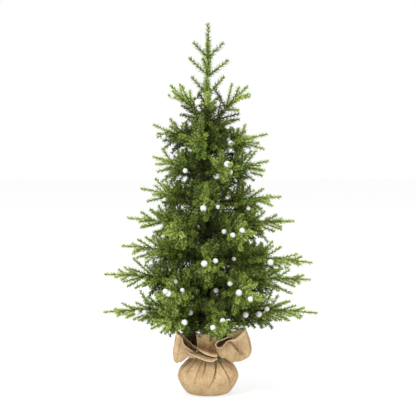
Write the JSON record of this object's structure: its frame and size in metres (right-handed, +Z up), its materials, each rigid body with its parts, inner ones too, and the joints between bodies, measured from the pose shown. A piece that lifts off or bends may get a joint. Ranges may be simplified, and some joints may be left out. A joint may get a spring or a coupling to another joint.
{
  "type": "artificial tabletop tree",
  "caption": "Free-standing artificial fir on a weighted base tied in a burlap sack, with hooked branches that bend on rings up a central pole.",
  "frame": {"origin": "centre of the sack's flat underside, on the pole's axis", "axes": "+Z up the pole, -Y towards the pictured front, +X to its right"},
  "size_m": [0.5197, 0.4522, 0.9],
  "materials": {
    "needles": "moulded needles, satin",
    "leader_needles": "moulded needles, satin",
    "tinsel": "cut foil needles, matt",
    "ring_plastic": "moulded, matt",
    "sleeve_plastic": "moulded, matt",
    "pole_paint": "dark green paint",
    "socket_steel": "plain tube",
    "cement": "cast, rough",
    "burlap": "plain jute weave",
    "tie_wire": "green coated wire"
  },
  "bodies": {
    "base": {"base_weight": "cement", "branch_ring_1": "ring_plastic", "branch_ring_2": "ring_plastic", "branch_ring_3": "ring_plastic", "branch_ring_4": "ring_plastic", "branch_ring_5": "ring_plastic", "branch_ring_6": "ring_plastic", "branch_ring_7": "ring_plastic", "branch_ring_8": "ring_plastic", "burlap_sack": "burlap", "leader": "leader_needles", "leader_sleeve": "sleeve_plastic", "neck_tie": "tie_wire", "pole_garland_1": "tinsel", "pole_garland_2": "tinsel", "pole_garland_3": "tinsel", "pole_garland_4": "tinsel", "pole_garland_5": "tinsel", "pole_garland_6": "tinsel", "pole_garland_7": "tinsel", "pole_garland_8": "tinsel", "trunk_pole": "pole_paint", "trunk_socket": "socket_steel"},
    "branch_1a": {"branch_1a": "needles"},
    "branch_1b": {"branch_1b": "needles"},
    "branch_1c": {"branch_1c": "needles"},
    "branch_1d": {"branch_1d": "needles"},
    "branch_1e": {"branch_1e": "needles"},
    "branch_1f": {"branch_1f": "needles"},
    "branch_2a": {"branch_2a": "needles"},
    "branch_2b": {"branch_2b": "needles"},
    "branch_2c": {"branch_2c": "needles"},
    "branch_2d": {"branch_2d": "needles"},
    "branch_2e": {"branch_2e": "needles"},
    "branch_3a": {"branch_3a": "needles"},
    "branch_3b": {"branch_3b": "needles"},
    "branch_3c": {"branch_3c": "needles"},
    "branch_3d": {"branch_3d": "needles"},
    "branch_3e": {"branch_3e": "needles"},
    "branch_4a": {"branch_4a": "needles"},
    "branch_4b": {"branch_4b": "needles"},
    "branch_4c": {"branch_4c": "needles"},
    "branch_4d": {"branch_4d": "needles"},
    "branch_4e": {"branch_4e": "needles"},
    "branch_5a": {"branch_5a": "needles"},
    "branch_5b": {"branch_5b": "needles"},
    "branch_5c": {"branch_5c": "needles"},
    "branch_5d": {"branch_5d": "needles"},
    "branch_6a": {"branch_6a": "needles"},
    "branch_6b": {"branch_6b": "needles"},
    "branch_6c": {"branch_6c": "needles"},
    "branch_6d": {"branch_6d": "needles"},
    "branch_7a": {"branch_7a": "needles"},
    "branch_7b": {"branch_7b": "needles"},
    "branch_7c": {"branch_7c": "needles"},
    "branch_7d": {"branch_7d": "needles"},
    "branch_8a": {"branch_8a": "needles"},
    "branch_8b": {"branch_8b": "needles"},
    "branch_8c": {"branch_8c": "needles"},
    "branch_8d": {"branch_8d": "needles"}
  },
  "joints": [
    {"name": "bend_1a", "type": "hinge", "parent": "base", "child": "branch_1a", "pos_m": [0.0155, 0, 0.194], "axis": [0, -1, 0], "range_deg": [-10, 10]},
    {"name": "bend_1b", "type": "hinge", "parent": "base", "child": "branch_1b", "pos_m": [0.00821, 0.01315, 0.194], "axis": [0.848, -0.5299, 0], "range_deg": [-10, 10]},
    {"name": "bend_1c", "type": "hinge", "parent": "base", "child": "branch_1c", "pos_m": [-0.00775, 0.01342, 0.194], "axis": [0.866, 0.5, 0], "range_deg": [-10, 10]},
    {"name": "bend_1d", "type": "hinge", "parent": "base", "child": "branch_1d", "pos_m": [-0.0155, -0.00027, 0.194], "axis": [-0.0175, 0.9998, 0], "range_deg": [-10, 10]},
    {"name": "bend_1e", "type": "hinge", "parent": "base", "child": "branch_1e", "pos_m": [-0.00911, -0.01254, 0.194], "axis": [-0.809, 0.5878, 0], "range_deg": [-10, 10]},
    {"name": "bend_1f", "type": "hinge", "parent": "base", "child": "branch_1f", "pos_m": [0.00243, -0.01531, 0.194], "axis": [-0.9877, -0.1564, 0], "range_deg": [-10, 10]},
    {"name": "bend_2a", "type": "hinge", "parent": "base", "child": "branch_2a", "pos_m": [0.01447, 0.00556, 0.26043], "axis": [0.3584, -0.9336, 0], "range_deg": [-10, 10]},
    {"name": "bend_2b", "type": "hinge", "parent": "base", "child": "branch_2b", "pos_m": [0, 0.0155, 0.26043], "axis": [1, 0, 0], "range_deg": [-10, 10]},
    {"name": "bend_2c", "type": "hinge", "parent": "base", "child": "branch_2c", "pos_m": [-0.01516, 0.00322, 0.26043], "axis": [0.2079, 0.9781, 0], "range_deg": [-10, 10]},
    {"name": "bend_2d", "type": "hinge", "parent": "base", "child": "branch_2d", "pos_m": [-0.00867, -0.01285, 0.26043], "axis": [-0.829, 0.5592, 0], "range_deg": [-10, 10]},
    {"name": "bend_2e", "type": "hinge", "parent": "base", "child": "branch_2e", "pos_m": [0.00867, -0.01285, 0.26043], "axis": [-0.829, -0.5592, 0], "range_deg": [-10, 10]},
    {"name": "bend_3a", "type": "hinge", "parent": "base", "child": "branch_3a", "pos_m": [0.01504, -0.00375, 0.32686], "axis": [-0.2419, -0.9703, 0], "range_deg": [-10, 10]},
    {"name": "bend_3b", "type": "hinge", "parent": "base", "child": "branch_3b", "pos_m": [0.00775, 0.01342, 0.32686], "axis": [0.866, -0.5, 0], "range_deg": [-10, 10]},
    {"name": "bend_3c", "type": "hinge", "parent": "base", "child": "branch_3c", "pos_m": [-0.00911, 0.01254, 0.32686], "axis": [0.809, 0.5878, 0], "range_deg": [-10, 10]},
    {"name": "bend_3d", "type": "hinge", "parent": "base", "child": "branch_3d", "pos_m": [-0.01527, -0.00269, 0.32686], "axis": [-0.1736, 0.9848, 0], "range_deg": [-10, 10]},
    {"name": "bend_3e", "type": "hinge", "parent": "base", "child": "branch_3e", "pos_m": [0, -0.0155, 0.32686], "axis": [-1, 0, 0], "range_deg": [-10, 10]},
    {"name": "bend_4a", "type": "hinge", "parent": "base", "child": "branch_4a", "pos_m": [0.01504, 0.00375, 0.39329], "axis": [0.2419, -0.9703, 0], "range_deg": [-10, 10]},
    {"name": "bend_4b", "type": "hinge", "parent": "base", "child": "branch_4b", "pos_m": [0.00054, 0.01549, 0.39329], "axis": [0.9994, -0.0349, 0], "range_deg": [-10, 10]},
    {"name": "bend_4c", "type": "hinge", "parent": "base", "child": "branch_4c", "pos_m": [-0.01504, 0.00375, 0.39329], "axis": [0.2419, 0.9703, 0], "range_deg": [-10, 10]},
    {"name": "bend_4d", "type": "hinge", "parent": "base", "child": "branch_4d", "pos_m": [-0.00911, -0.01254, 0.39329], "axis": [-0.809, 0.5878, 0], "range_deg": [-10, 10]},
    {"name": "bend_4e", "type": "hinge", "parent": "base", "child": "branch_4e", "pos_m": [0.00954, -0.01221, 0.39329], "axis": [-0.788, -0.6157, 0], "range_deg": [-10, 10]},
    {"name": "bend_5a", "type": "hinge", "parent": "base", "child": "branch_5a", "pos_m": [0.01541, -0.00162, 0.45971], "axis": [-0.1045, -0.9945, 0], "range_deg": [-10, 10]},
    {"name": "bend_5b", "type": "hinge", "parent": "base", "child": "branch_5b", "pos_m": [-0.00216, 0.01535, 0.45971], "axis": [0.9903, 0.1392, 0], "range_deg": [-10, 10]},
    {"name": "bend_5c", "type": "hinge", "parent": "base", "child": "branch_5c", "pos_m": [-0.01546, -0.00108, 0.45971], "axis": [-0.0698, 0.9976, 0], "range_deg": [-10, 10]},
    {"name": "bend_5d", "type": "hinge", "parent": "base", "child": "branch_5d", "pos_m": [-0.00054, -0.01549, 0.45971], "axis": [-0.9994, 0.0349, 0], "range_deg": [-10, 10]},
    {"name": "bend_6a", "type": "hinge", "parent": "base", "child": "branch_6a", "pos_m": [0.01416, 0.0063, 0.52614], "axis": [0.4067, -0.9135, 0], "range_deg": [-10, 10]},
    {"name": "bend_6b", "type": "hinge", "parent": "base", "child": "branch_6b", "pos_m": [-0.00679, 0.01393, 0.52614], "axis": [0.8988, 0.4384, 0], "range_deg": [-10, 10]},
    {"name": "bend_6c", "type": "hinge", "parent": "base", "child": "branch_6c", "pos_m": [-0.01437, -0.00581, 0.52614], "axis": [-0.3746, 0.9272, 0], "range_deg": [-10, 10]},
    {"name": "bend_6d", "type": "hinge", "parent": "base", "child": "branch_6d", "pos_m": [0.0063, -0.01416, 0.52614], "axis": [-0.9135, -0.4067, 0], "range_deg": [-10, 10]},
    {"name": "bend_7a", "type": "hinge", "parent": "base", "child": "branch_7a", "pos_m": [0.01527, -0.00269, 0.59257], "axis": [-0.1736, -0.9848, 0], "range_deg": [-10, 10]},
    {"name": "bend_7b", "type": "hinge", "parent": "base", "child": "branch_7b", "pos_m": [0.00375, 0.01504, 0.59257], "axis": [0.9703, -0.2419, 0], "range_deg": [-10, 10]},
    {"name": "bend_7c", "type": "hinge", "parent": "base", "child": "branch_7c", "pos_m": [-0.01516, 0.00322, 0.59257], "axis": [0.2079, 0.9781, 0], "range_deg": [-10, 10]},
    {"name": "bend_7d", "type": "hinge", "parent": "base", "child": "branch_7d", "pos_m": [-0.00427, -0.0149, 0.59257], "axis": [-0.9613, 0.2756, 0], "range_deg": [-10, 10]},
    {"name": "bend_8a", "type": "hinge", "parent": "base", "child": "branch_8a", "pos_m": [0.01504, 0.00375, 0.659], "axis": [0.2419, -0.9703, 0], "range_deg": [-10, 10]},
    {"name": "bend_8b", "type": "hinge", "parent": "base", "child": "branch_8b", "pos_m": [-0.00054, 0.01549, 0.659], "axis": [0.9994, 0.0349, 0], "range_deg": [-10, 10]},
    {"name": "bend_8c", "type": "hinge", "parent": "base", "child": "branch_8c", "pos_m": [-0.01504, 0.00375, 0.659], "axis": [0.2419, 0.9703, 0], "range_deg": [-10, 10]},
    {"name": "bend_8d", "type": "hinge", "parent": "base", "child": "branch_8d", "pos_m": [0, -0.0155, 0.659], "axis": [-1, 0, 0], "range_deg": [-10, 10]}
  ]
}
